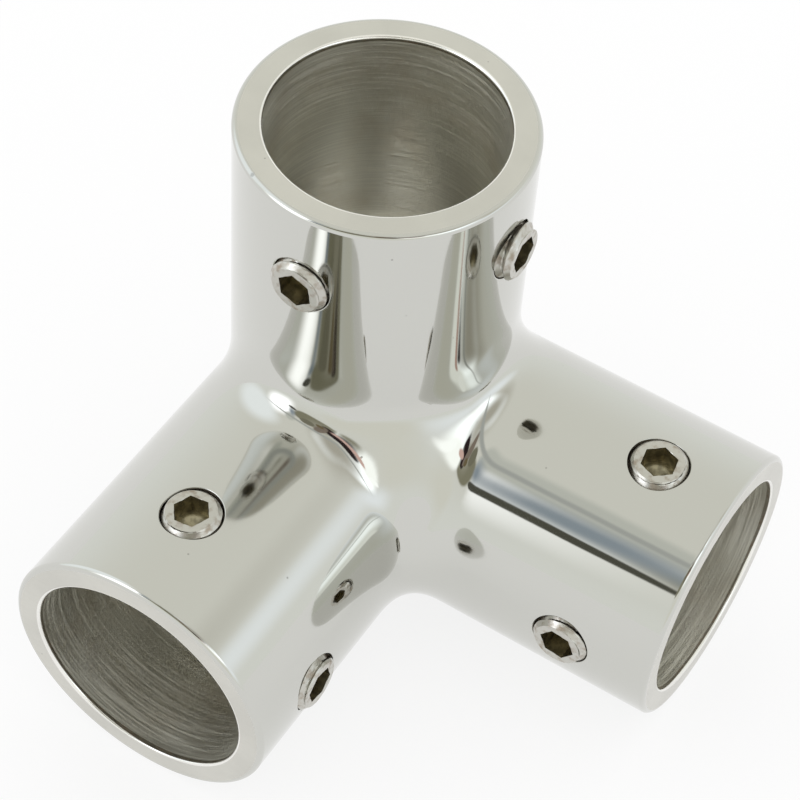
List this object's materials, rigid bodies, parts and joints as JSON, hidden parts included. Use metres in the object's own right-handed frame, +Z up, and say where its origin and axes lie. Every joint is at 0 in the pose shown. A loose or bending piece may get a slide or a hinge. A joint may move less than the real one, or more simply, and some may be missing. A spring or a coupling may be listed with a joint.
{
  "type": "three-way corner connector",
  "caption": "Polished cast corner fitting that joins round tubes at right angles in three directions, each held in its socket by set screws.",
  "frame": {"origin": "middle of the bounding box, at the floor that the front and right sockets lie on", "axes": "+Z up along the upright socket, +X along the right socket, -Y along the front socket"},
  "size_m": [0.0616, 0.0616, 0.0615],
  "materials": {
    "polished_casting": "mirror polished stainless steel",
    "set_screws": "plain turned stainless steel"
  },
  "bodies": {
    "casting": {"corner_casting": "polished_casting"},
    "screw_top_front": {"set_screw_top_front": "set_screws"},
    "screw_top_right": {"set_screw_top_right": "set_screws"},
    "screw_right_top": {"set_screw_right_top": "set_screws"},
    "screw_right_front": {"set_screw_right_front": "set_screws"},
    "screw_front_top": {"set_screw_front_top": "set_screws"},
    "screw_front_right": {"set_screw_front_right": "set_screws"}
  },
  "joints": [
    {"name": "drive_top_front", "type": "slide", "parent": "casting", "child": "screw_top_front", "axis": [0, 1, 0], "range_m": [-0.00095, 0.00185]},
    {"name": "drive_top_right", "type": "slide", "parent": "casting", "child": "screw_top_right", "axis": [-1, 0, 0], "range_m": [-0.0007, 0.0021]},
    {"name": "drive_right_top", "type": "slide", "parent": "casting", "child": "screw_right_top", "axis": [0, 0.0262, -0.9997], "range_m": [-0.0016, 0.0012]},
    {"name": "drive_right_front", "type": "slide", "parent": "casting", "child": "screw_right_front", "axis": [0, 1, 0], "range_m": [-0.0012, 0.0016]},
    {"name": "drive_front_top", "type": "slide", "parent": "casting", "child": "screw_front_top", "axis": [0.0523, 0, -0.9986], "range_m": [-0.0016, 0.0012]},
    {"name": "drive_front_right", "type": "slide", "parent": "casting", "child": "screw_front_right", "axis": [-1, 0, 0], "range_m": [-0.0013, 0.0015]}
  ]
}
